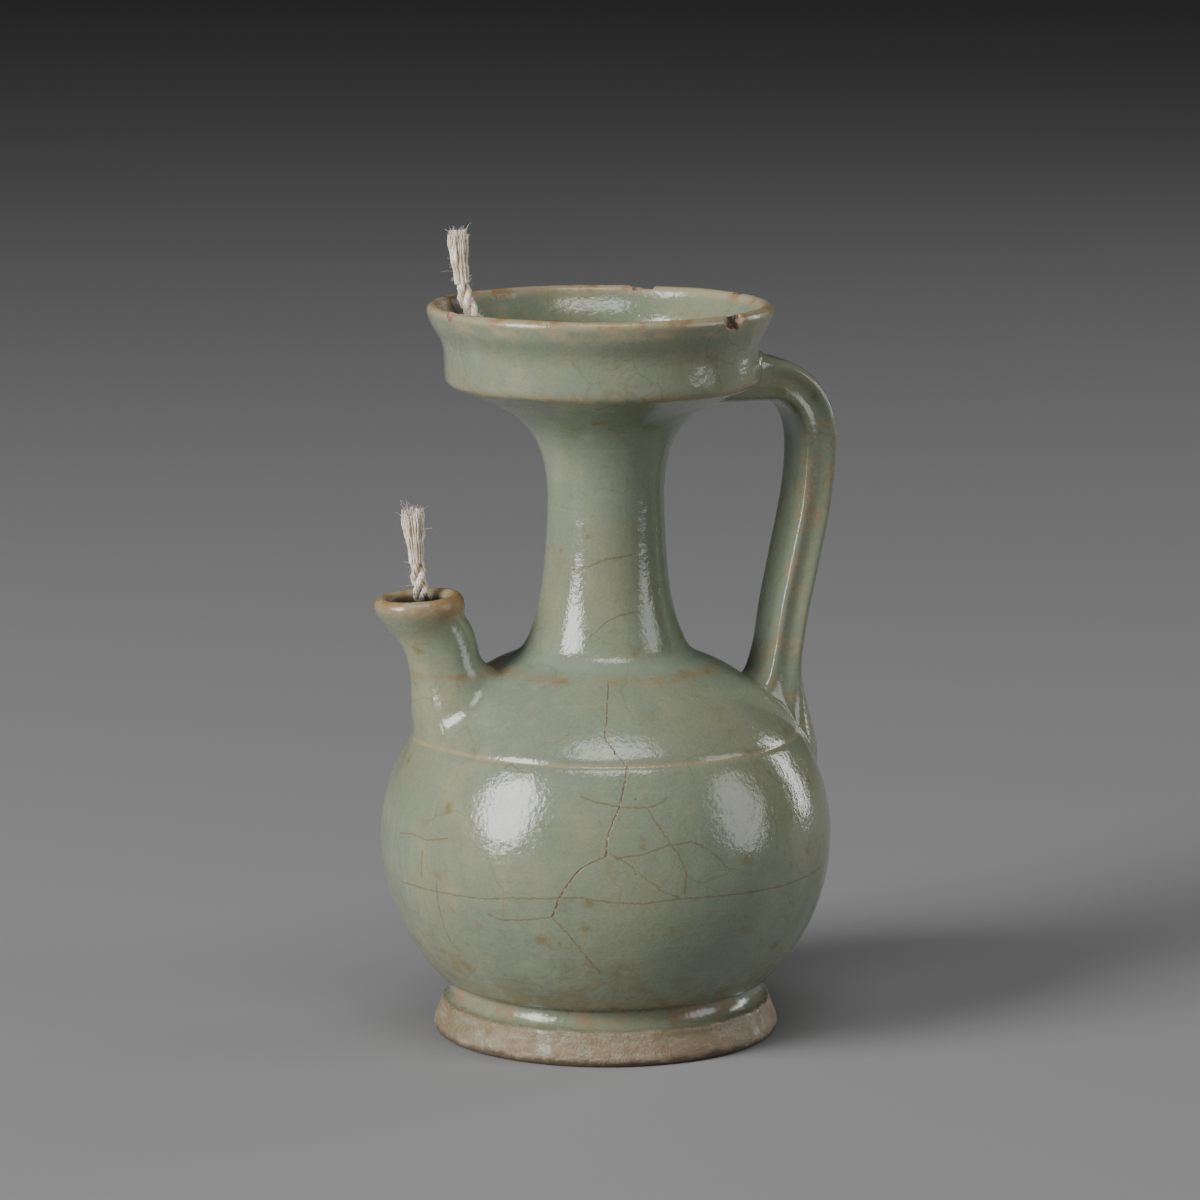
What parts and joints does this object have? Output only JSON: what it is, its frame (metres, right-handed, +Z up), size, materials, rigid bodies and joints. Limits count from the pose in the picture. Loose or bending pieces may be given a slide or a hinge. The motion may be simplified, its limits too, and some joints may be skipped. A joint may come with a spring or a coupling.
{
  "type": "celadon ewer oil lamp",
  "caption": "Round-bellied celadon ewer with a dish mouth, short spout and strap handle, used as an oil lamp with cotton wicks.",
  "frame": {"origin": "on the floor under the middle of the foot ring", "axes": "+Z up along the axis of the vessel, -X towards the spout, +X towards the handle"},
  "size_m": [0.1272, 0.1224, 0.2167],
  "materials": {
    "celadon_glaze": "glossy grey-green celadon glaze with fine crazing, stained pinholes and worn buff edges",
    "cotton": "matt twisted cotton cord, charred where it leaves the spout"
  },
  "bodies": {
    "root": {"lamp_body": "celadon_glaze", "spout_wick": "cotton", "dish_wick": "cotton"}
  },
  "joints": []
}
